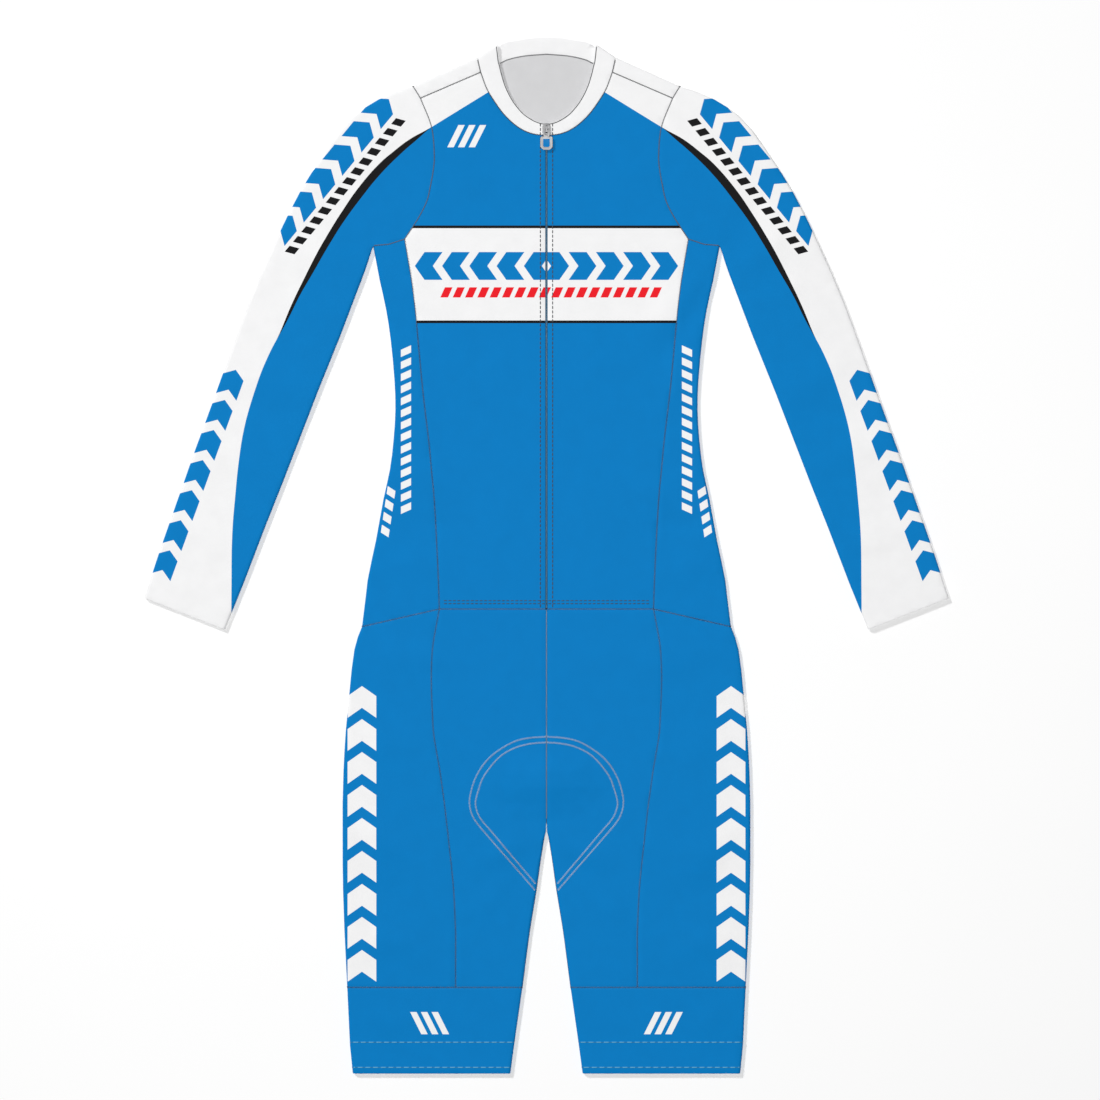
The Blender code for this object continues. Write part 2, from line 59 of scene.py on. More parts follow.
# %% Seam lines
WAIST_Y, CROTCH_Y, BAND_Y = -58, -286, -466
BODY_SIDE_SEAM = [
    (115.5, -58), (116.5, -27), (118.5, 16), (121, 60), (124, 92), (127, 124), (131, 157),
    (134.5, 189), (138.5, 232), (141.5, 265), (145.5, 297), (153, 341),
]
LEG_SIDE_SEAM = [
    (98, -466), (98, -435), (98, -405), (100, -362), (103, -330), (105.5, -308), (106.5, -298),
    (108, -286), (110, -268), (112.5, -250), (115, -232), (118.5, -212), (122, -189),
    (124, -146), (124.1, -124), (123, -102), (121.1, -88), (115.5, -58),
]
ARMHOLE = [
    (153, 341), (138, 364), (129, 382), (125, 399), (122, 416), (121, 432), (124, 462), (136, 493),
]
ARMPIT, UNDERARM, SHOULDER_POINT = (187, 334), (170, 335.4), (144, 506)
COLLAR_SEAM = [
    (0, 453), (7.5, 453.3), (15, 454.6), (23, 457.4), (31.5, 462.4), (39.5, 469), (47.8, 477.8),
    (56, 489.3), (64.3, 503), (71, 521),
]
COLLAR_FREE = [
    (0, 465.5), (7.4, 466.7), (15.6, 470.3), (24.8, 476.8), (33.6, 487), (39.4, 496.5), (44.2, 507),
    (47.9, 519), (50.3, 529), (51.4, 533), (53.5, 551.5),
]
NECK_POINT = (75, 537)
BACK_NECK_SEAM = [(73.75, 534.8), (63, 533), (51, 531), (42, 535), (24, 539), (0, 541)]
FORWARD_SHOULDER = [(71, 521), (136, 493)]
WAIST_SEAM = [(0, -58), (115.5, -58), (199, -77)]
INNER_LEG = [
    (0, -286), (1.5, -298), (3, -308), (6.5, -330), (11, -362), (18, -405), (22, -435), (26, -466),
]
ZIP_BOTTOM, ZIP_TOP = -57.8, 464.5
STEPS_PER_KNOT = 12  # of a curve, before its points are spread evenly


def curve_through(points, spacing=2.0):
    """Points at even distances along a smooth curve through the given ones."""
    knots = [Vector(point) for point in points]
    ends = [2 * knots[0] - knots[1], *knots, 2 * knots[-1] - knots[-2]]
    fine = []
    for before, start, end, after in zip(ends, ends[1:], ends[2:], ends[3:]):
        for step in range(STEPS_PER_KNOT):
            t = step / STEPS_PER_KNOT
            bend = 2 * before - 5 * start + 4 * end - after
            turn = 3 * start - before - 3 * end + after
            fine.append((2 * start + (end - before) * t + bend * t**2 + turn * t**3) / 2)
    return resampled([*fine, knots[-1]], spacing)


def resampled(line, spacing):
    """The same line with its points an even distance apart."""
    places = np.array([tuple(point) for point in line])
    reached = np.concatenate([[0], np.cumsum(np.linalg.norm(np.diff(places, axis=0), axis=1))])
    stops = np.linspace(0, reached[-1], max(1, round(reached[-1] / spacing)) + 1)
    return np.column_stack([np.interp(stops, reached, values) for values in places.T])


print("the side seam has", len(curve_through(BODY_SIDE_SEAM)), "points")

# %% [markdown]
# ## How the cloth lies
#
# A knitted suit that is smoothed out by hand still keeps some soft folds: they run from the armpits into the
# chest, across the elbows, in from the waist and out from the crotch. A cloth simulation could find them, but
# it would also move the seams. Here each fold is a short line with a width and a height, listed one by one.
# The upper layer rises or sinks along it, and the underside stays flat on the table.

# %% Soft folds
# start x, start y, end x, end y, half width, height (a trough is below 0)
FOLDS = (
    (188, 318, 96, 226, 13, 0.9), (184, 300, 108, 196, 9, -0.7), (176, 262, 118, 150, 12, 0.6),
    (-186, 322, -84, 244, 12, 0.8), (-182, 296, -112, 214, 10, -0.6), (-174, 254, -124, 128, 12, 0.6),
    (192, 316, 236, 398, 12, -0.7), (200, 300, 262, 352, 13, 0.9), (212, 262, 286, 300, 14, 0.7),
    (-192, 312, -230, 404, 12, -0.6), (-202, 296, -268, 344, 14, 0.9), (-216, 254, -290, 290, 13, 0.6),
    (250, 176, 330, 214, 15, 0.9), (262, 150, 352, 160, 11, -0.7), (286, 92, 372, 130, 14, 0.6),
    (-252, 170, -336, 206, 14, 0.8), (-264, 142, -350, 166, 12, -0.7), (-290, 84, -374, 118, 15, 0.7),
    (318, 2, 402, 40, 13, 0.6), (-322, -6, -400, 34, 12, 0.6),
    (172, 84, 84, 66, 15, 0.8), (180, 44, 92, 22, 11, -0.7), (190, -8, 104, -22, 14, 0.7),
    (-174, 96, -92, 72, 14, 0.8), (-182, 38, -86, 30, 12, -0.6), (-192, -14, -98, -8, 14, 0.7),
    (192, -96, 92, -122, 16, 0.7), (-196, -104, -96, -112, 15, 0.8), (70, 8, 26, 90, 18, 0.5),
    (-76, -16, -30, 72, 17, 0.5), (72, 180, 34, 250, 18, 0.5), (-66, 172, -28, 236, 18, 0.4),
    (12, -300, 74, -338, 12, 0.9), (10, -318, 58, -372, 9, -0.7), (22, -346, 96, -392, 13, 0.6),
    (-12, -302, -80, -332, 12, 0.9), (-11, -322, -52, -378, 9, -0.7), (-24, -352, -92, -386, 13, 0.6),
    (214, -300, 148, -330, 15, 0.8), (216, -352, 138, -366, 14, -0.6), (212, -410, 132, -428, 15, 0.7),
    (-216, -290, -142, -322, 15, 0.8), (-214, -344, -146, -372, 14, -0.6),
    (-212, -414, -126, -424, 15, 0.7), (206, -190, 142, -214, 16, 0.6), (-208, -196, -138, -206, 16, 0.6),
    (104, 420, 60, 396, 16, 0.6), (-108, 414, -64, 402, 15, 0.6), (166, 470, 214, 420, 18, 0.5),
    (-160, 474, -218, 412, 18, 0.5), (196, -488, 150, -516, 14, 0.5), (-190, -492, -146, -510, 14, 0.5),
)
FOLD_DEPTH = 1.35  # how strongly the folds are pressed in
FLAT_TOP = 5.0  # the height of the suit without its folds
LOWER_TOP, UPPER_BASE = 1.3, 3.7  # between them, a folded edge turns from the lower to the upper layer
WAVER, WAVER_TURNS = 3, 5  # how far and how quickly a fold wavers to its sides
FADE_MARGIN, FADE_LENGTH = 0.15, 0.55  # shares of a fold's length in which it runs out
ZIP_FLAT, ZIP_FADE = 15, 26  # beside the zip
PAST_ZIP_BOTTOM, PAST_ZIP_TOP = 20, 8
PAD_REACH_X, PAD_REACH_Y, PAD_CENTRE_Y = 100, 75, -240
PAD_FLAT, PAD_FADE = 0.6, 0.5  # shares of the pad's reach
NECK_LEVEL, NECK_FALL, NECK_FADE = 528, 0.3, 40


def fold_rise(x, y):
    """How far the folds lift the upper layer at these places, all in millimetres."""
    rise = np.zeros_like(x)
    for start_x, start_y, end_x, end_y, half, height in FOLDS:
        way = np.array((end_x - start_x, end_y - start_y), float)
        length = np.hypot(*way)
        way /= length
        along = ((x - start_x) * way[0] + (y - start_y) * way[1]) / length
        across = (y - start_y) * way[0] - (x - start_x) * way[1]
        across += WAVER * np.sin(along * WAVER_TURNS + start_x)
        within = np.minimum(along, 1 - along) + FADE_MARGIN
        fade = np.clip(within / FADE_LENGTH, 0, 1)
        rise += FOLD_DEPTH * height * np.exp(-((across / half) ** 2)) * fade**2 * (3 - 2 * fade)
    along_zip = (y > ZIP_BOTTOM - PAST_ZIP_BOTTOM) & (y < ZIP_TOP + PAST_ZIP_TOP)
    beside_zip = np.where(along_zip, np.clip((np.abs(x) - ZIP_FLAT) / ZIP_FADE, 0, 1), 1)
    pad_share = np.hypot(x / PAD_REACH_X, (y - PAD_CENTRE_Y) / PAD_REACH_Y)
    off_pad = np.clip((pad_share - PAD_FLAT) / PAD_FADE, 0, 1)
    off_neck = np.clip((NECK_LEVEL - y - NECK_FALL * np.abs(x)) / NECK_FADE, 0, 1)
    return rise * beside_zip * off_pad * off_neck


def share_of_rise(height):
    """How much of a fold's rise the cloth at this height takes part in."""
    return np.clip((height - LOWER_TOP) / (UPPER_BASE - LOWER_TOP), 0, 1)


def folded(places):
    """The places on the suit, with those of the upper layer moved by the folds."""
    x, y, z = places.T
    return np.column_stack([x, y, z + fold_rise(x, y) * share_of_rise(z)])


print(len(FOLDS), "soft folds, the highest", max(row[5] for row in FOLDS), "mm")

# %% [markdown]
# ## Helpers for material nodes
#
# A material is a small network of nodes. These helpers start a material, add one node and link what goes
# into it, so that the recipes below read from top to bottom.


# %% Node helpers
def new_material(name):
    """A material with its node tree and its shader."""
    made = bpy.data.materials.new(name)
    made.use_nodes = True
    return made, made.node_tree, made.node_tree.nodes["Principled BSDF"]


def add_node(tree, kind, inputs=(), **settings):
    """One node, with its settings, and a value or a link for each named or numbered input."""
    made = tree.nodes.new(kind)
    for name, value in settings.items():
        setattr(made, name, value)
    for socket, value in inputs:
        if isinstance(value, bpy.types.NodeSocket):
            tree.links.new(value, made.inputs[socket])
        else:
            made.inputs[socket].default_value = value
    return made


def calculate(tree, operation, *values):
    return add_node(tree, "ShaderNodeMath", enumerate(values), operation=operation).outputs[0]


def mixed(tree, share, first, second, **settings):
    """A colour that goes from the first to the second as the share rises."""
    inputs = [(0, share), (6, first), (7, second)]
    return add_node(tree, "ShaderNodeMix", inputs, data_type="RGBA", **settings).outputs[2]


def raised(tree, strength, distance, height):
    """The normal of a surface that a height raises."""
    inputs = [("Strength", strength), ("Distance", distance), ("Height", height)]
    return add_node(tree, "ShaderNodeBump", inputs).outputs[0]


def noise(tree, scale, detail):
    """A soft noise that stays in place on the suit."""
    on_suit = add_node(tree, "ShaderNodeTexCoord").outputs["Object"]
    inputs = [("Vector", on_suit), ("Scale", scale), ("Detail", detail)]
    return add_node(tree, "ShaderNodeTexNoise", inputs).outputs["Fac"]


def new_group(name, inputs, outputs):
    """A shader node group with its inputs and outputs, to be filled."""
    tree = bpy.data.node_groups.new(name, "ShaderNodeTree")
    for label, kind, value in inputs:
        tree.interface.new_socket(label, in_out="INPUT", socket_type=kind).default_value = value
    for label in outputs:
        tree.interface.new_socket(label, in_out="OUTPUT", socket_type=NUMBER)
    return tree, tree.nodes.new("NodeGroupInput").outputs, tree.nodes.new("NodeGroupOutput").inputs


NUMBER, PLACE = "NodeSocketFloat", "NodeSocketVector"
print("node helpers ready")

# %% [markdown]
# ## Knitted cloth
#
# The suit is a fine two-way stretch knit. Its stitches stand in columns called wales, with rows called
# courses across them. Two wave textures at right angles give both, and a soft noise makes the cloth a little
# uneven. The pattern could be an image, but a node group stays sharp at any distance and is built only once.

# %% The knit group
WALE, COURSE = 0.9, 0.7
WAVES_PER_UNIT = math.pi / 10  # a wave texture of scale 1 repeats every pi / 10 units
knit, knit_in, knit_out = new_group(
    "Fine knit", [("Loops", NUMBER, 1.0), ("Unevenness", NUMBER, 1.0)], ["Height", "Tone"]
)
on_suit = add_node(knit, "ShaderNodeTexCoord").outputs["Object"]
wales = add_node(
    knit, "ShaderNodeTexWave", [("Vector", on_suit), ("Scale", WAVES_PER_UNIT / (WALE * MM))],
    bands_direction="X",
)
courses = add_node(
    knit, "ShaderNodeTexWave", [("Vector", on_suit), ("Scale", WAVES_PER_UNIT / (COURSE * MM))],
    bands_direction="Y",
)
slack = noise(knit, 60.0, 3.0)
loops = calculate(knit, "MULTIPLY", wales.outputs["Fac"], courses.outputs["Fac"])
loops = calculate(knit, "MULTIPLY", loops, knit_in["Loops"])
uneven = calculate(knit, "MULTIPLY", slack, knit_in["Unevenness"])
knit.links.new(calculate(knit, "MULTIPLY_ADD", uneven, 2.0, loops), knit_out["Height"])
knit.links.new(calculate(knit, "MULTIPLY_ADD", uneven, 0.08, 0.96), knit_out["Tone"])
print("knit group:", len(knit.nodes), "nodes")

# %% [markdown]
# ## Rows of printed shapes
#
# The suit carries rows of bold printed shapes. One group draws a row of bars along its own X axis. A bend
# turns the bars into chevrons, and a slant leans them. Each row gets its length, height and spacing, so that
# one recipe serves the chest, the sleeves and the legs.

# %% The printed row group
printed_row, row_in, row_out = new_group(
    "Printed row",
    [
        ("Place", PLACE, (0, 0, 0)), ("Length", NUMBER, 100.0), ("Half height", NUMBER, 10.0),
        ("Spacing", NUMBER, 20.0), ("Share", NUMBER, 0.6), ("Bend", NUMBER, 0.0), ("Slant", NUMBER, 0.0),
    ],
    ["Mask"],
)
row_x, row_y, _ = add_node(printed_row, "ShaderNodeSeparateXYZ", [(0, row_in["Place"])]).outputs
away = calculate(printed_row, "ABSOLUTE", row_y)
leaned = calculate(printed_row, "MULTIPLY_ADD", row_y, row_in["Slant"], row_x)
along = calculate(printed_row, "MULTIPLY_ADD", away, row_in["Bend"], leaned)
turn = calculate(printed_row, "FRACT", calculate(printed_row, "DIVIDE", along, row_in["Spacing"]))
row_mask = calculate(printed_row, "LESS_THAN", turn, row_in["Share"])
for limit in (
    calculate(printed_row, "GREATER_THAN", along, 0.0),
    calculate(printed_row, "LESS_THAN", along, row_in["Length"]),
    calculate(printed_row, "LESS_THAN", away, row_in["Half height"]),
):
    row_mask = calculate(printed_row, "MULTIPLY", row_mask, limit)
printed_row.links.new(row_mask, row_out["Mask"])
print("printed row group:", len(printed_row.nodes), "nodes")

# %% [markdown]
# ## The cloth recipe
#
# On the real suit the print is dyed into white cloth before it is cut, so colours run right up to the seams
# and the inside stays pale. A cloth material starts with one colour and lays printed areas over it. The masks
# read the place on the suit in millimetres, with x outwards, so one recipe dresses both halves.

# %% The cloth recipe
BLUE = (0.0, 0.188, 0.512, 1)
WHITE = (0.85, 0.85, 0.855, 1)
BLACK = (0.008, 0.008, 0.009, 1)
RED = (0.80, 0.012, 0.02, 1)
# The inside colour is pale unprinted knit darkened to a mid grey, which is painted shade for where the inside
# lies.
INSIDE_WITH_PAINTED_SHADE = (0.62, 0.62, 0.63, 1)
KNIT_RELIEF = 0.2 * MM
SOFT_SHEEN = {"Specular IOR Level": 0.06, "Sheen Weight": 0.03, "Sheen Roughness": 0.5}


class PrintedCloth:
    """A cloth material under way."""

    def __init__(self, name, colour):
        self.material, self.tree, self.shader = new_material(name)
        on_suit = add_node(self.tree, "ShaderNodeTexCoord").outputs["Object"]
        inputs = [("Vector", on_suit), ("Scale", (1 / MM, 1 / MM, 1 / MM))]
        self.place = add_node(self.tree, "ShaderNodeMapping", inputs).outputs[0]
        self.x, self.y, _ = add_node(self.tree, "ShaderNodeSeparateXYZ", [(0, self.place)]).outputs
        self.out = calculate(self.tree, "ABSOLUTE", self.x)
        inputs = [("X", self.out), ("Y", self.y)]
        self.half = add_node(self.tree, "ShaderNodeCombineXYZ", inputs).outputs[0]
        self.colour = colour

    def lay(self, mask, colour):
        """Lays a colour over what is there."""
        self.colour = mixed(self.tree, mask, self.colour, colour)

    def band(self, value, low, high):
        above = calculate(self.tree, "GREATER_THAN", value, low)
        return calculate(self.tree, "MULTIPLY", above, calculate(self.tree, "LESS_THAN", value, high))

    def inside_curve(self, points):
        """1 where the cloth is nearer to the centre line than a curve, given as y and x outwards."""
        low, high = points[0][0], points[-1][0]
        reach = max(x for _, x in points)
        share = calculate(self.tree, "DIVIDE", calculate(self.tree, "SUBTRACT", self.y, low), high - low)
        bent = add_node(self.tree, "ShaderNodeFloatCurve", [("Value", share)])
        line = bent.mapping.curves[0]
        line.points[0].location = (0, points[0][1] / reach)
        line.points[-1].location = (1, points[-1][1] / reach)
        for y, x in points[1:-1]:
            line.points.new((y - low) / (high - low), x / reach)
        bent.mapping.update()
        limit = calculate(self.tree, "MULTIPLY", bent.outputs[0], reach)
        return calculate(self.tree, "LESS_THAN", self.out, limit)

    def row(self, colour, start, end, half_height, spacing, share, bend=0.0, slant=0.0, both=True):
        """Lays a row of whole bars from one place to another, with nearly this spacing."""
        way = Vector(end) - Vector(start)
        bars = round(way.length / spacing)
        spacing = way.length / (bars - 1 + share)
        inputs = [
            ("Vector", self.half if both else self.place), ("Location", (*start, 0)),
            ("Rotation", (0, 0, math.atan2(way.y, way.x))),
        ]
        turned = add_node(self.tree, "ShaderNodeMapping", inputs, vector_type="TEXTURE")
        inputs = [
            ("Place", turned.outputs[0]), ("Length", way.length), ("Half height", half_height),
            ("Spacing", spacing), ("Share", share), ("Bend", bend), ("Slant", slant),
        ]
        row = add_node(self.tree, "ShaderNodeGroup", inputs, node_tree=printed_row)
        self.lay(row.outputs["Mask"], colour)

    def finish(self, roughness=0.62, bump=0.35):
        """Knits the colour into the cloth and gives it its soft sheen."""
        loops = add_node(self.tree, "ShaderNodeGroup", node_tree=knit).outputs
        toned = mixed(self.tree, 1.0, self.colour, loops["Tone"], blend_type="MULTIPLY")
        self.tree.links.new(toned, self.shader.inputs["Base Color"])
        normal = raised(self.tree, bump, KNIT_RELIEF, loops["Height"])
        self.tree.links.new(normal, self.shader.inputs["Normal"])
        self.shader.inputs["Roughness"].default_value = roughness
        for label, value in SOFT_SHEEN.items():
            self.shader.inputs[label].default_value = value
        print(self.material.name, "has", len(self.tree.nodes), "nodes")
        return self.material


print("the sheen of the cloth:", SOFT_SHEEN)

# %% [markdown]
# ## The prints
#
# The front has white shoulders over a slanting line and a white chest band between two thin black lines. The
# sleeves are white outside and blue inside, and a black stripe that runs out near the elbow follows the edge.
# Rows of chevrons and short bars decorate the chest, the sleeves, the sides and the legs.

# %% The prints
SHOULDER_LEVEL, SHOULDER_FALL = 538.1, 0.6154  # the line's height at the centre, and its fall outwards
CHEST_LOW, CHEST_HIGH, BLACK_LINE = 250.3, 355.6, 2.9


def with_white_shoulders(name):
    """Blue cloth that is white over the slanting line."""
    cloth = PrintedCloth(name, BLUE)
    level = calculate(cloth.tree, "MULTIPLY_ADD", cloth.out, SHOULDER_FALL, cloth.y)
    cloth.lay(calculate(cloth.tree, "GREATER_THAN", level, SHOULDER_LEVEL), WHITE)
    return cloth


blue_knit = with_white_shoulders("blue printed knit").finish()

front_cloth = with_white_shoulders("front printed knit")
front_cloth.lay(front_cloth.band(front_cloth.y, CHEST_LOW, CHEST_HIGH), BLACK)
front_cloth.lay(front_cloth.band(front_cloth.y, CHEST_LOW + BLACK_LINE, CHEST_HIGH - BLACK_LINE), WHITE)
front_cloth.row(BLUE, (5, 312), (142, 312), 15, 30.0, 0.66, bend=0.7)
front_cloth.row(RED, (-112, 283.5), (122, 283.5), 5.5, 13.0, 0.62, slant=-0.45, both=False)
front_cloth.row(WHITE, (-101, 452), (-71, 452), 12, 10.0, 0.6, slant=-0.5, both=False)
front_knit = front_cloth.finish()

sleeve_cloth = PrintedCloth("sleeve printed knit", WHITE)
BLUE_EDGE = [
    (-120, 339.7), (-38, 339.7), (27, 338.6), (60, 336), (99, 332), (137, 326), (176, 315), (215, 300),
    (254, 279), (280, 266), (306, 251), (332, 236), (358, 220), (384, 201), (410, 180), (435, 155),
    (448, 140), (462, 124), (510, 60),
]
STRIPE_EDGE = [
    (-120, 330), (137, 320), (215, 299), (240, 287.5), (267, 276.3), (293, 264), (319, 251),
    (345, 236.5), (371, 220.5), (397, 202.3), (423, 179.5), (435, 165.5), (448, 148.5), (462, 124),
    (510, 60),
]
sleeve_cloth.lay(sleeve_cloth.inside_curve(STRIPE_EDGE), BLACK)
sleeve_cloth.lay(sleeve_cloth.inside_curve(BLUE_EDGE), BLUE)
sleeve_cloth.row(BLUE, (170, 492), (287, 350), 14, 31.0, 0.64, bend=-0.7)
sleeve_cloth.row(BLACK, (157, 470), (277, 326), 5, 13.0, 0.6, slant=-0.45)
sleeve_cloth.row(BLUE, (335, 200), (414, -16), 12, 31.0, 0.66, bend=-0.7)
sleeve_knit = sleeve_cloth.finish()

side_cloth = PrintedCloth("side panel printed knit", BLUE)
side_cloth.row(WHITE, (151.5, 224), (151.5, 47), 5.5, 13.0, 0.6, slant=-0.45)
side_cloth.row(WHITE, (167, 72), (174.5, 22), 4.5, 13.0, 0.6, slant=0.45)
side_knit = side_cloth.finish()

leg_cloth = PrintedCloth("leg printed knit", BLUE)
leg_cloth.row(WHITE, (199, -141), (199, -449), 15.5, 34.2, 0.66, bend=-0.7)
leg_knit = leg_cloth.finish()

band_cloth = PrintedCloth("leg band printed knit", BLUE)
band_cloth.row(WHITE, (111, -504.5), (141, -504.5), 12, 10.0, 0.6, slant=-0.5)
band_knit = band_cloth.finish()

white_knit = PrintedCloth("white knit", WHITE).finish()
# the inside faces: pale cloth in a mid grey that is painted shade
inside_knit_with_painted_shade = PrintedCloth("inside of the cloth with painted shade", INSIDE_WITH_PAINTED_SHADE).finish(roughness=0.8, bump=0.5)

# %% [markdown]
# ## Turning a solid into cloth
#
# A imported solid already has the cut of its panel, so the cloth starts as a copy of it. The copy is merged,
# because the imported mesh is loose triangles. Its cut edges are bevelled so that a seam looks like a soft
# valley, and planes cut it into a fine net that can follow the folds. The inside faces get the inside colour,
# pale cloth greyed with painted shade.


# %% Helpers for pieces
def finished(name, mesh, materials, body="garment"):
    """An object at the origin that rides on the suit."""
    for material in materials:
        mesh.materials.append(material)
    mesh.shade_smooth()
    piece = bpy.data.objects.new(name, mesh)
    bpy.context.scene.collection.objects.link(piece)
    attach(piece, body)
    return piece


def merged_copy(node, flat_angle=0.4):
    """A copy of a solid without doubled corners, and with the faces of each flat side joined."""
    bm = bmesh.new()
    bm.from_mesh(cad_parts[node].data)
    bmesh.ops.remove_doubles(bm, verts=bm.verts, dist=0.01 * MM)
    bmesh.ops.dissolve_limit(bm, angle_limit=math.radians(flat_angle), verts=bm.verts, edges=bm.edges)
    return bm


def sharp_edges(bm, degrees):
    return [edge for edge in bm.edges if edge.is_manifold and edge.calc_face_angle() > math.radians(degrees)]


def round_edges(bm, edges, offset, segments):
    bmesh.ops.bevel(
        bm, geom=edges, offset=offset, offset_type="OFFSET", segments=segments, profile=0.5,
        affect="EDGES", clamp_overlap=True, material=-1,
    )


def into_mesh(bm, name):
    mesh = bpy.data.meshes.new(name)
    bm.to_mesh(mesh)
    bm.free()
    return mesh


print("helpers for pieces ready")

# %% Cloth from a solid
EDGE_ROUND = 0.35 * MM
NET = 7 * MM
cloth_trees = []  # to find the cloth's surface again when thread is laid on it


def cut_net(bm, spacing):
    """Cuts the mesh along planes across x and across y."""
    for axis, normal in enumerate((Vector((1, 0, 0)), Vector((0, 1, 0)))):
        places = [vert.co[axis] for vert in bm.verts]
        for step in range(math.ceil(min(places) / spacing), math.ceil(max(places) / spacing)):
            geometry = [*bm.verts, *bm.edges, *bm.faces]
            bmesh.ops.bisect_plane(
                bm, geom=geometry, dist=0.0001 * MM, plane_co=normal * step * spacing, plane_no=normal
            )


def cloth_from(node, outside, inside):
    """The cloth of one panel, on the form of its solid."""
    bm = merged_copy(node)
    round_edges(bm, sharp_edges(bm, 60), EDGE_ROUND, 2)
    cut_net(bm, NET)
    for vert, place in zip(bm.verts, folded(np.array([vert.co for vert in bm.verts]) / MM)):
        vert.co = place * MM
    for face in bm.faces:
        low = face.calc_center_median().z < FLAT_TOP / 2 * MM
        face.material_index = int(face.normal.z > 0.5 if low else face.normal.z < -0.5)
    cloth_trees.append(BVHTree.FromBMesh(bm))
    mesh = into_mesh(bm, node)
    cloth = finished(f"{node}_cloth", mesh, [outside, inside])
    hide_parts(node)
    print(cloth.name, len(mesh.polygons), "faces")
    return cloth


print("the net in the cloth is", NET / MM, "mm wide")

# %% The cloth pieces
# node, outside, inside, slot, the cut's width, length and area in metres, what it lies on
PANELS = (
    ("back", blue_knit, inside_knit_with_painted_shade, "blue_knit", (0.312, 0.616), 0.156, "table"),
    ("front_left", front_knit, inside_knit_with_painted_shade, "blue_knit", (0.152, 0.579), 0.070, "back_cloth"),
    ("front_right", front_knit, inside_knit_with_painted_shade, "blue_knit", (0.152, 0.579), 0.070, "back_cloth"),
    ("side_left", side_knit, inside_knit_with_painted_shade, "blue_knit", (0.166, 0.418), 0.0373, "table"),
    ("side_right", side_knit, inside_knit_with_painted_shade, "blue_knit", (0.166, 0.418), 0.0373, "table"),
    ("sleeve_left", sleeve_knit, inside_knit_with_painted_shade, "white_knit", (0.43, 0.64), 0.124, "table"),
    ("sleeve_right", sleeve_knit, inside_knit_with_painted_shade, "white_knit", (0.43, 0.64), 0.124, "table"),
    ("collar", white_knit, white_knit, "white_knit", (0.028, 0.41), 0.0069, "table"),
    ("shorts_front_left", blue_knit, inside_knit_with_painted_shade, "blue_knit", (0.124, 0.408), 0.0427, "seat_pad_foam"),
    ("shorts_front_right", blue_knit, inside_knit_with_painted_shade, "blue_knit", (0.124, 0.408), 0.0427, "seat_pad_foam"),
    ("shorts_back_left", blue_knit, inside_knit_with_painted_shade, "blue_knit", (0.124, 0.408), 0.0427, "table"),
    ("shorts_back_right", blue_knit, inside_knit_with_painted_shade, "blue_knit", (0.124, 0.408), 0.0427, "table"),
    ("shorts_side_left", leg_knit, inside_knit_with_painted_shade, "blue_knit", (0.248, 0.408), 0.0835, "table"),
    ("shorts_side_right", leg_knit, inside_knit_with_painted_shade, "blue_knit", (0.248, 0.408), 0.0835, "table"),
    ("leg_band_left", band_knit, inside_knit_with_painted_shade, "blue_knit", (0.380, 0.093), 0.0333, "table"),
    ("leg_band_right", band_knit, inside_knit_with_painted_shade, "blue_knit", (0.380, 0.093), 0.0333, "table"),
)
for node, outside, inside, slot, flat, area, rests_on in PANELS:
    panel = cloth_from(node, outside, inside)

# %% [markdown]
# ## Thread
#
# Sewing thread is spun from fibres that are twisted together. The twist shows as fine slanting bands: a bump
# gives their relief, and painted shade darkens their valleys in the colour. A slanting wave texture gives
# them.
# Every thread has them, so they are a group.

# %% The thread group and its colours
TWIST_SCALE = 900.0
# painted shade: how much darker the twist's valleys are painted in the thread's colour
PAINTED_VALLEY_SHADE = 0.75  # how dark the valleys are beside the thread's own colour
THREAD_RELIEF = 0.1 * MM
twist, twist_in, twist_out = new_group(
    "Thread twist", [("Scale", NUMBER, TWIST_SCALE), ("Distortion", NUMBER, 1.0)], ["Ply"]
)
on_suit = add_node(twist, "ShaderNodeTexCoord").outputs["Object"]
bands = add_node(
    twist, "ShaderNodeTexWave",
    [("Vector", on_suit), ("Scale", twist_in["Scale"]), ("Distortion", twist_in["Distortion"])],
    bands_direction="DIAGONAL",
)
twist.links.new(bands.outputs["Fac"], twist_out["Ply"])


def thread_material(name, colour, roughness=0.5):
    """Thread with its twist in its bump, and painted shade in the twist's valleys in its colour."""
    made, tree, shader = new_material(name)
    ply = add_node(tree, "ShaderNodeGroup", node_tree=twist).outputs["Ply"]
    # painted shade in the valleys of the twist
    dark = tuple(value * PAINTED_VALLEY_SHADE for value in colour)
    tree.links.new(mixed(tree, ply, (*dark, 1), (*colour, 1)), shader.inputs["Base Color"])
    tree.links.new(raised(tree, 0.4, THREAD_RELIEF, ply), shader.inputs["Normal"])
    shader.inputs["Roughness"].default_value = roughness
    print(name, "has", len(tree.nodes), "nodes")
    return made


grey_thread = thread_material("grey thread", (0.12, 0.125, 0.135))
dark_thread = thread_material("dark grey thread", (0.05, 0.053, 0.06))
blue_thread = thread_material("blue grey thread", (0.04, 0.22, 0.40))
pale_thread = thread_material("pale blue thread", (0.13, 0.46, 0.70))
silver_thread = thread_material("silver thread", (0.62, 0.63, 0.62))

# %% [markdown]
# ## Laying thread
#
# The panels are joined edge to edge by flatlock seams, in which thread runs to and fro over the join on both
# faces of the cloth. Rows of straight stitches hold the zip and the hems. A curve with a round bevel draws
# thread most simply, and it is turned into a mesh once it is in place.

# %% Thread from lines
THREAD_SIDES = 1  # rounding steps of the bevel, which give six sides
UNDER_CLOTH = 0.07  # how far thread may stick out under the suit, in millimetres


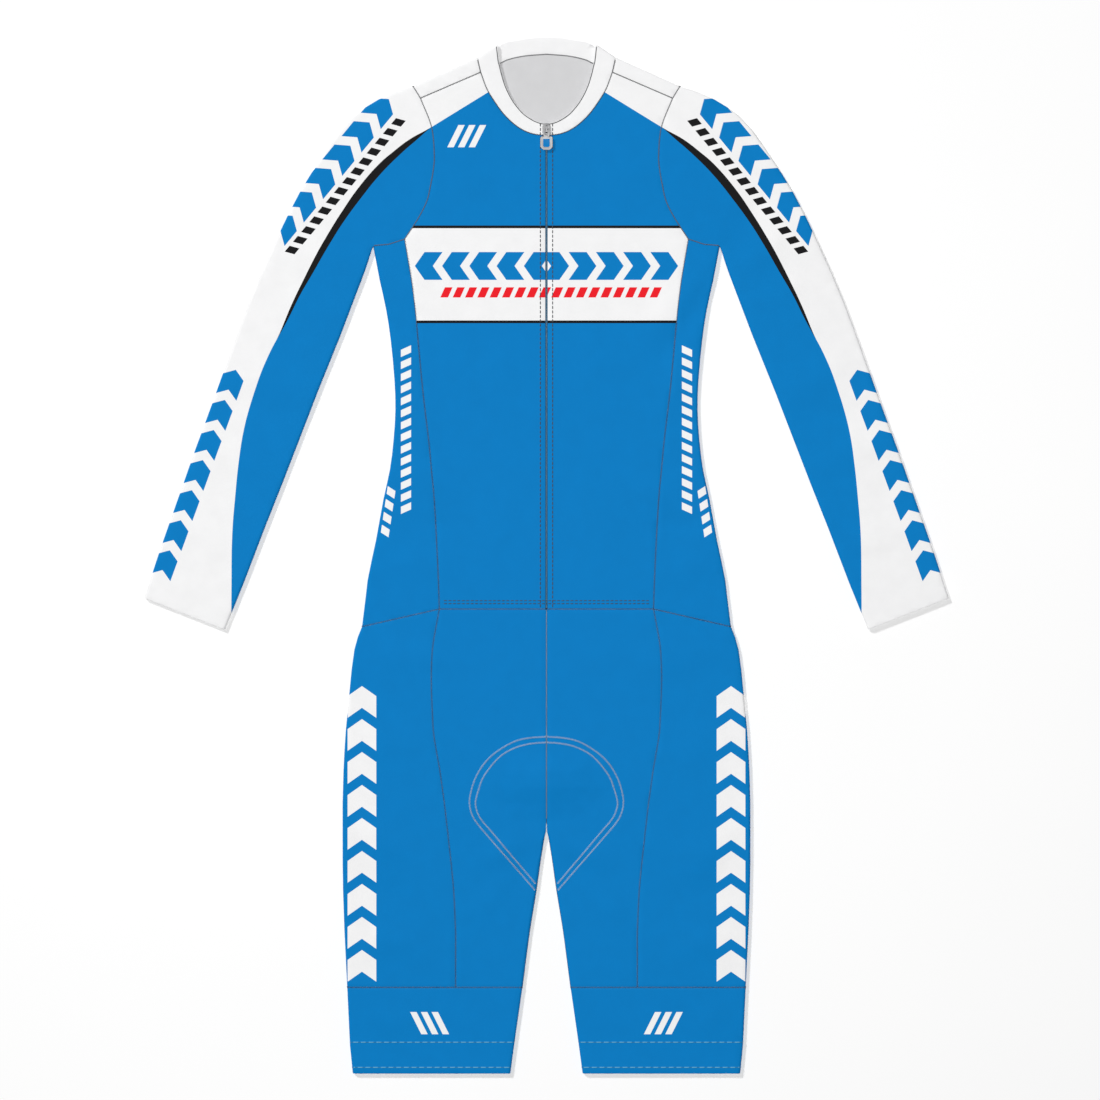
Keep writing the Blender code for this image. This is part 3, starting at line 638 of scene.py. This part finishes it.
def threads(name, lines, thickness, material):
    """Round threads through lists of places in millimetres."""
    drawn = bpy.data.curves.new(name, "CURVE")
    drawn.dimensions = "3D"
    drawn.bevel_depth = thickness / 2 * MM
    drawn.bevel_resolution = THREAD_SIDES
    drawn.use_fill_caps = True
    lowest = (-np.inf, -np.inf, thickness / 2 - UNDER_CLOTH)
    for line in lines:
        line = np.maximum(line, lowest)
        spline = drawn.splines.new("POLY")
        spline.points.add(len(line) - 1)
        ends = np.ones((len(line), 1))
        spline.points.foreach_set("co", np.hstack([line * MM, ends]).ravel())
    guide = bpy.data.objects.new(name, drawn)
    bpy.context.scene.collection.objects.link(guide)
    mesh = bpy.data.meshes.new_from_object(guide.evaluated_get(bpy.context.evaluated_depsgraph_get()))
    bpy.data.objects.remove(guide)
    mesh.materials.clear()
    made = finished(name, mesh, [material])
    print(name, len(mesh.polygons), "faces")
    return made


print("thread lies on", len(cloth_trees), "cloth pieces")

# %% [markdown]
# ## Routes for the thread
#
# A seam runs over the top, turns round the folded edge and comes back underneath. A route is a list of places
# on the cloth, with the side direction at each, in which the thread swings. The underside thread sits in the
# rounded valley between two panels, so that the suit still lies flat.

# %% Routes on the flat cloth
ON_TOP = 0.10  # over the cloth
UNDERNEATH = 0.14  # over the table
BESIDE = 0.9  # how far from a seam the height of the cloth is read


def line_frame(line):
    """Unit directions along a flat line and to its left."""
    way = np.gradient(line, axis=0)
    way /= np.linalg.norm(way, axis=1)[:, None]
    return way, np.column_stack([-way[:, 1], way[:, 0]])


def cloth_height(x, y):
    """The height of the uppermost cloth at a place, in millimetres."""
    above, down = Vector((x * MM, y * MM, 1)), Vector((0, 0, -1))
    hits = [tree.ray_cast(above, down)[0] for tree in cloth_trees]
    return max((hit.z / MM for hit in hits if hit), default=0)


def top_route(line, spacing):
    """Along a line, on the higher of the two cloths beside it."""
    line = resampled(line, spacing)
    _, left = line_frame(line)
    beside = [[cloth_height(*place) for place in line + left * offset] for offset in (BESIDE, -BESIDE)]
    heights = np.max(beside, axis=0) + ON_TOP
    return np.column_stack([line, heights]), np.column_stack([left, np.zeros(len(line))])


def under_route(line, spacing):
    """Along a line, on the underside of the suit."""
    line = resampled(line, spacing)
    _, left = line_frame(line)
    level = np.full(len(line), UNDERNEATH)
    return np.column_stack([line, level]), np.column_stack([left, np.zeros(len(line))])


print("the chest is", round(cloth_height(60, 100), 2), "mm high beside the zip")

# %% Routes round a folded edge
FOLD_RADIUS = 2.5
FINE = 0.5
TURN_STEPS = 17


def round_route(line, spacing, first_fold, last_fold):
    """Over the top, round each end that is a folded edge, and back underneath."""
    fine = resampled(line, FINE)
    start = round(FOLD_RADIUS / FINE) if first_fold else 0
    stop = len(fine) - (round(FOLD_RADIUS / FINE) if last_fold else 0)
    flat = fine[start:stop]
    top, left = top_route(flat, FINE)
    under, _ = under_route(flat, FINE)
    way = line_frame(fine)[0]
    route, side = [top], [left]

    def fold(edge, outwards, across, upwards):
        turns = np.linspace(1, -1, TURN_STEPS) * (math.pi / 2) * upwards
        radius = FOLD_RADIUS + ON_TOP
        out = radius * np.cos(turns)
        height = FOLD_RADIUS + radius * np.sin(turns)
        base = edge - outwards * FOLD_RADIUS
        turned = np.column_stack([base + out[:, None] * outwards, np.maximum(height, UNDERNEATH)])
        route.append(folded(turned))
        side.append(np.tile((*across, 0), (TURN_STEPS, 1)))

    if last_fold:
        fold(fine[-1], way[-1], left[-1][:2], 1)
    route.append(under[::-1])
    side.append(left[::-1])
    if first_fold:
        fold(fine[0], -way[0], left[0][:2], -1)
    route, side = np.vstack(route), np.vstack(side)
    reached = np.concatenate([[0], np.cumsum(np.linalg.norm(np.diff(route, axis=0), axis=1))])
    stops = np.linspace(0, reached[-1], round(reached[-1] / spacing) + 1)
    even = [np.column_stack([np.interp(stops, reached, v) for v in rows.T]) for rows in (route, side)]
    return even[0], even[1]


def mirrored(routes):
    """The same routes on the other half of the suit, on the folds of that half."""
    other = []
    for route, side in routes:
        x, y, z = route.T
        change = (fold_rise(-x, y) - fold_rise(x, y)) * share_of_rise(z)
        other.append((np.column_stack([-x, y, z + change]), side * (-1, 1, 1)))
    return other


print("a route turns round a fold in", TURN_STEPS, "points")

# %% Stitches along a route
STITCH_SINK = 0.3


def flatlock(route, side, half_width):
    """Thread that swings from side to side along a route."""
    swing = np.where(np.arange(len(route)) % 2, 1, -1)[:, None]
    return route + side * swing * half_width


def straight_stitches(route, stitch, gap):
    """Short dashes of thread along a route, sinking into the cloth at both ends."""
    line, _ = route
    reached = np.concatenate([[0], np.cumsum(np.linalg.norm(np.diff(line, axis=0), axis=1))])
    dashes = []
    for start in np.arange(0, reached[-1] - stitch, stitch + gap):
        stops = start + stitch * np.array((0, 0.15, 0.85, 1))
        dash = np.column_stack([np.interp(stops, reached, values) for values in line.T])
        dash[[0, -1], 2] -= np.sign(dash[[0, -1], 2] - FOLD_RADIUS) * STITCH_SINK
        dashes.append(dash)
    return dashes


print("stitches sink", STITCH_SINK, "mm into the cloth")

# %% [markdown]
# ## The flatlock seams
#
# The seams show on the real suit as thin grey lines about 2 mm wide. A narrower stitch in thicker thread
# crosses the white cloth, so that it shows as clearly there. Each group of seams is a piece of its own, so
# that no mesh gets too heavy.

# %% Flatlock seams
PITCH, HALF_WIDTH, SEAM_THREAD = 0.85, 1.0, 0.42
HEAVY = 0.5, 0.85  # half width and thickness of the seams that cross white cloth


def both_halves(routes):
    return [*routes, *mirrored(routes)]


def sew(name, routes, half_width=HALF_WIDTH, thickness=SEAM_THREAD, thread=grey_thread):
    lines = [flatlock(route, side, half_width) for route, side in routes]
    return threads(name, lines, thickness, thread)


armhole_line = resampled([ARMPIT, UNDERARM, *curve_through(ARMHOLE, 1), SHOULDER_POINT], 1)
sew("armhole_seams", both_halves([round_route(armhole_line, PITCH, True, True)]), *HEAVY)

side_line = curve_through(BODY_SIDE_SEAM, 1)
sew("body_side_seams", both_halves([top_route(side_line, PITCH), under_route(side_line, PITCH)]))

leg_line = curve_through(LEG_SIDE_SEAM, 1)
sew("leg_side_seams", both_halves([top_route(leg_line, PITCH), under_route(leg_line, PITCH)]))

shoulder_line = resampled(FORWARD_SHOULDER, 1)
sew("forward_shoulder_seams", both_halves([top_route(shoulder_line, PITCH)]), *HEAVY, dark_thread)

waist_line = resampled(WAIST_SEAM, 1)
sew("waist_seam", both_halves([round_route(waist_line, PITCH, False, True)]))

crotch_line = resampled([(0, WAIST_Y), (0, CROTCH_Y)], 1)
sew("centre_seam", [round_route(crotch_line, PITCH, False, True)])

band_line = resampled([(26, BAND_Y), (215, BAND_Y)], 1)
sew("leg_band_seams", both_halves([round_route(band_line, PITCH, True, True)]))

inner_line = curve_through(INNER_LEG, PITCH)
half_way_up = np.full(len(inner_line), FOLD_RADIUS)
inner_route = np.column_stack([inner_line - (0.05, 0), half_way_up])  # just outside the folded edge
upright = np.tile((0.0, 0.0, 1.0), (len(inner_line), 1))
sew("inner_leg_seams", both_halves([(inner_route, upright)]))

collar_line = curve_through(COLLAR_SEAM, 1)[2:]
back_neck_line = curve_through(BACK_NECK_SEAM, 1)
neck_turn = top_route(np.vstack([collar_line, resampled([COLLAR_SEAM[-1], NECK_POINT], 1)[1:-3]]), PITCH)
inside_neck = under_route(back_neck_line, PITCH)
inside_neck[0][:, 2] = LOWER_TOP - 0.05
neck_routes = [neck_turn, under_route(back_neck_line, PITCH), inside_neck]
sew("collar_seam", both_halves(neck_routes), *HEAVY, dark_thread)

# %% [markdown]
# ## Topstitching
#
# Straight stitches run down both sides of the zip, in two rows over the waist and in two rows round each hem.
# The seat pad is held by a double row of silver zigzag, and its outline on the front is the widest one.

# %% Topstitched rows
zip_rows = [top_route([(6.6, ZIP_BOTTOM + 2), (6.6, 466)], 1)]
waist_rows = [top_route([(0, level), (114, level)], 1) for level in (-48.9, -52.1)]
hem_rows = []
for level, inner, outer in ((-525.1, 34.6, 212.1), (-552.2, 38.1, 209.6)):
    hem_rows.append(round_route(resampled([(inner, level), (outer, level)], 1), 1, True, True))


def topstitch(name, routes, thread, stitch, gap, thickness):
    dashes = [dash for route in routes for dash in straight_stitches(route, stitch, gap)]
    return threads(name, dashes, thickness, thread)


topstitch("zip_topstitching", both_halves(zip_rows), dark_thread, 3.0, 1.8, 1.0)
topstitch("waist_topstitching", both_halves(waist_rows), dark_thread, 3.0, 1.8, 0.8)
topstitch("hem_topstitching", both_halves(hem_rows), pale_thread, 5.2, 3.1, 1.1)
threads("hem_lower_thread", [route for route, _ in both_halves(hem_rows)], 0.6, blue_thread)

free_line = curve_through(COLLAR_FREE, 1)[2:-3]
free_line -= line_frame(free_line)[1] * 0.8
collar_edge = [route for route, _ in both_halves([top_route(free_line, 1)])]
threads("collar_edge_thread", collar_edge, 0.9, dark_thread)

PAD_LINES = (
    [
        (0, -195.6), (19.8, -197.1), (35.3, -201.1), (50.8, -209.8), (62, -218.8), (70.7, -229.4),
        (77.5, -242.4), (81.8, -256.6), (83, -266), (81.8, -275.2), (78.5, -283.4), (73.2, -291),
        (66, -299.6), (39.3, -330.2), (12.5, -361),
    ],
    [
        (0, -201.8), (13.6, -202.7), (29.1, -205.8), (43.4, -212.3), (53.3, -220), (63.2, -231.8),
        (69.4, -241.8), (74.4, -256.6), (76.6, -266.5), (75.4, -274.6), (72.2, -282.2), (67.2, -289),
        (60, -297.2), (36, -325.6), (12, -354),
    ],
)
pad_routes = [top_route(curve_through(line, 1), 0.8) for line in PAD_LINES]
pad_thread = [flatlock(route, side, 0.85) for route, side in both_halves(pad_routes)]
threads("seat_pad_stitching", pad_thread, 0.7, silver_thread)

# %% [markdown]
# ## The zip
#
# A closed nylon zip is two woven tapes with a coil sewn along each edge, and the two coils mesh. Each coil is
# a spiral of stiff thread, half a turn apart from the other, so that their loops interlock. The tapes lie
# under the two fronts.

# %% Zip tapes and coils
COIL_PITCH, COIL_ACROSS, COIL_UP, COIL_THREAD = 1.5, 0.36, 0.42, 0.44
COIL_X, COIL_Z = 0.5, 4.25
COIL_STEPS = 8  # points in each turn
TAPE_WIDTH, TAPE_THICKNESS, TAPE_X, TAPE_Z, TAPE_ROUND = 12.7, 0.9, 6.6, 2.9, 0.3

coil_nylon = thread_material("zip coil nylon", (0.07, 0.24, 0.36), roughness=0.38)
coil_nylon.node_tree.nodes["Principled BSDF"].inputs["Specular IOR Level"].default_value = 0.4
tape_weave = PrintedCloth("zip tape weave", (0.05, 0.16, 0.36, 1)).finish(roughness=0.7, bump=0.6)


def zip_coil(name, side):
    turns = np.arange(ZIP_BOTTOM + 1, ZIP_TOP - 0.5, COIL_PITCH / COIL_STEPS)
    angle = (turns / COIL_PITCH + (0.5 if side < 0 else 0)) * 2 * math.pi
    spiral = np.column_stack(
        [side * (COIL_X + COIL_ACROSS * np.cos(angle)), turns, COIL_Z + COIL_UP * np.sin(angle)]
    )
    return threads(name, [spiral], COIL_THREAD, coil_nylon)


def zip_tape(name, side):
    bm = bmesh.new()
    made = bmesh.ops.create_cube(bm, size=1)
    size = Vector((TAPE_WIDTH, ZIP_TOP - ZIP_BOTTOM, TAPE_THICKNESS)) * MM
    bmesh.ops.scale(bm, verts=made["verts"], vec=size)
    centre = Vector((side * TAPE_X, (ZIP_TOP + ZIP_BOTTOM) / 2, TAPE_Z)) * MM
    bmesh.ops.translate(bm, verts=made["verts"], vec=centre)
    round_edges(bm, bm.edges[:], TAPE_ROUND * MM, 2)
    return finished(name, into_mesh(bm, name), [tape_weave])


for side, half in ((1, "left"), (-1, "right")):
    coil = zip_coil(f"zip_coil_{half}", side)
    tape = zip_tape(f"zip_tape_{half}_woven", side)
    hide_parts(f"zip_tape_{half}")

# %% [markdown]
# ## Slider and pull tab
#
# The slider and its pull are cast metal with a bright plated finish. Their solids have the right form but
# sharp edges, and cast edges are always rounded, because they catch the light. So each is a bevelled copy,
# and the grip gets a sunken face for the fingers, filled with blue enamel.

# %% Zip metal
def plated_metal(name):
    """Slightly worn plating: a fine noise in its colour, roughness and bump."""
    made, tree, shader = new_material(name)
    wear = noise(tree, 900.0, 4.0)
    shade = mixed(tree, wear, (0.24, 0.24, 0.245, 1), (0.34, 0.34, 0.345, 1))
    tree.links.new(shade, shader.inputs["Base Color"])
    tree.links.new(calculate(tree, "MULTIPLY_ADD", wear, 0.15, 0.45), shader.inputs["Roughness"])
    tree.links.new(raised(tree, 0.15, 0.1 * MM, wear), shader.inputs["Normal"])
    shader.inputs["Metallic"].default_value = 1.0
    return made


zip_metal = plated_metal("plated zip metal")
enamel = PrintedCloth("blue enamel", BLUE).finish(roughness=0.4, bump=0.02)
GRIP_RIM, CAST_ROUND = 3.2, 0.22


def cast_copy(node, name, body, materials, sunk=0.0):
    """A solid with its edges rounded, and with its largest upper face sunk."""
    bm = merged_copy(node, flat_angle=1)
    if sunk:
        upper = [face for face in bm.faces if face.normal.z > 0.9]
        grip = max(upper, key=lambda face: face.calc_area())
        bmesh.ops.inset_region(bm, faces=[grip], thickness=GRIP_RIM * MM)
        bmesh.ops.translate(bm, verts=grip.verts, vec=Vector((0, 0, -sunk * MM)))
        grip.material_index = 1
    round_edges(bm, sharp_edges(bm, 30), CAST_ROUND * MM, 3)
    mesh = into_mesh(bm, name)
    piece = finished(name, mesh, materials, body)
    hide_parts(node)
    print(name, len(mesh.polygons), "faces")


cast_copy("zip_slider", "zip_slider_cast", "garment", [zip_metal])
cast_copy("zip_pull", "zip_pull_cast", "pull_tab", [zip_metal, enamel], sunk=0.6)

# %% [markdown]
# ## The seat pad
#
# The pad inside the shorts is soft foam under a brushed cloth. Only its stitching shows from outside, but it
# can be seen up a leg. It is a copy of its solid with generously rounded edges.

# %% Seat pad
PAD_ROUND = 0.8 * MM
bm = merged_copy("seat_pad")
round_edges(bm, sharp_edges(bm, 50), PAD_ROUND, 3)
cut_net(bm, NET)
pad_mesh = into_mesh(bm, "seat_pad_foam")
brushed = PrintedCloth("brushed pad cloth", (0.42, 0.42, 0.43, 1)).finish(roughness=0.9, bump=0.8)
pad = finished("seat_pad_foam", pad_mesh, [brushed])
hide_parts("seat_pad")
print("seat pad:", len(pad_mesh.polygons), "faces")

# %% [markdown]
# ## Table, light and camera
#
# The picture shows the suit from straight above on white. A pale table, one broad soft light overhead and a
# weaker one from the upper left keep the cloth even and still draw its folds and edges. The camera stands far
# away, so that the suit looks as flat as a drawing.

# %% Table
HALF_TABLE, TABLE_LEVEL = 4, -0.0001
bm = bmesh.new()
bmesh.ops.create_grid(bm, x_segments=2, y_segments=2, size=HALF_TABLE)
bmesh.ops.translate(bm, verts=bm.verts, vec=(0, 0, TABLE_LEVEL))
table_mesh = into_mesh(bm, "table")
table = bpy.data.objects.new("table", table_mesh)
bpy.context.scene.collection.objects.link(table)
paper, paper_tree, paper_shader = new_material("pale paper")
grain = add_node(paper_tree, "ShaderNodeTexNoise", [("Scale", 30.0)]).outputs["Fac"]
shade = mixed(paper_tree, grain, (0.955, 0.955, 0.955, 1), (0.97, 0.97, 0.97, 1))
paper_tree.links.new(shade, paper_shader.inputs["Base Color"])
paper_shader.inputs["Roughness"].default_value = 0.9
paper_shader.inputs["Specular IOR Level"].default_value = 0.1
table_mesh.materials.append(paper)
print("table:", 2 * HALF_TABLE, "m wide")

# %% Light
def soft_light(name, size, power, place, aim=(0, 0, 0)):
    lamp = bpy.data.lights.new(name, "AREA")
    lamp.shape = "DISK"
    lamp.size = size
    lamp.energy = power
    shown = bpy.data.objects.new(name, lamp)
    shown.location = place
    shown.rotation_euler = (Vector(aim) - Vector(place)).to_track_quat("-Z", "Y").to_euler()
    bpy.context.scene.collection.objects.link(shown)


soft_light("overhead", 1.2, 116, (0, 0, 4.2))
soft_light("upper left", 1.2, 600, (-6.0, 6.2, 6.0))
world = bpy.data.worlds.new("soft room")
world.use_nodes = True
world.node_tree.nodes["Background"].inputs["Color"].default_value = (1, 1, 1, 1)
world.node_tree.nodes["Background"].inputs["Strength"].default_value = 0.1
bpy.context.scene.world = world
bpy.context.scene.view_settings.view_transform = "Standard"
print("lights:", ", ".join(lamp.name for lamp in bpy.data.lights))

# %% Camera
camera = bpy.data.objects.new("camera", bpy.data.cameras.new("camera"))
camera.data.lens = 100
camera.data.sensor_width = 36
camera.location = (0.0038, 0.0057, 3.3)
camera.data.clip_end = 20
bpy.context.scene.collection.objects.link(camera)
bpy.context.scene.camera = camera
print("camera:", camera.location.z, "m over the table")
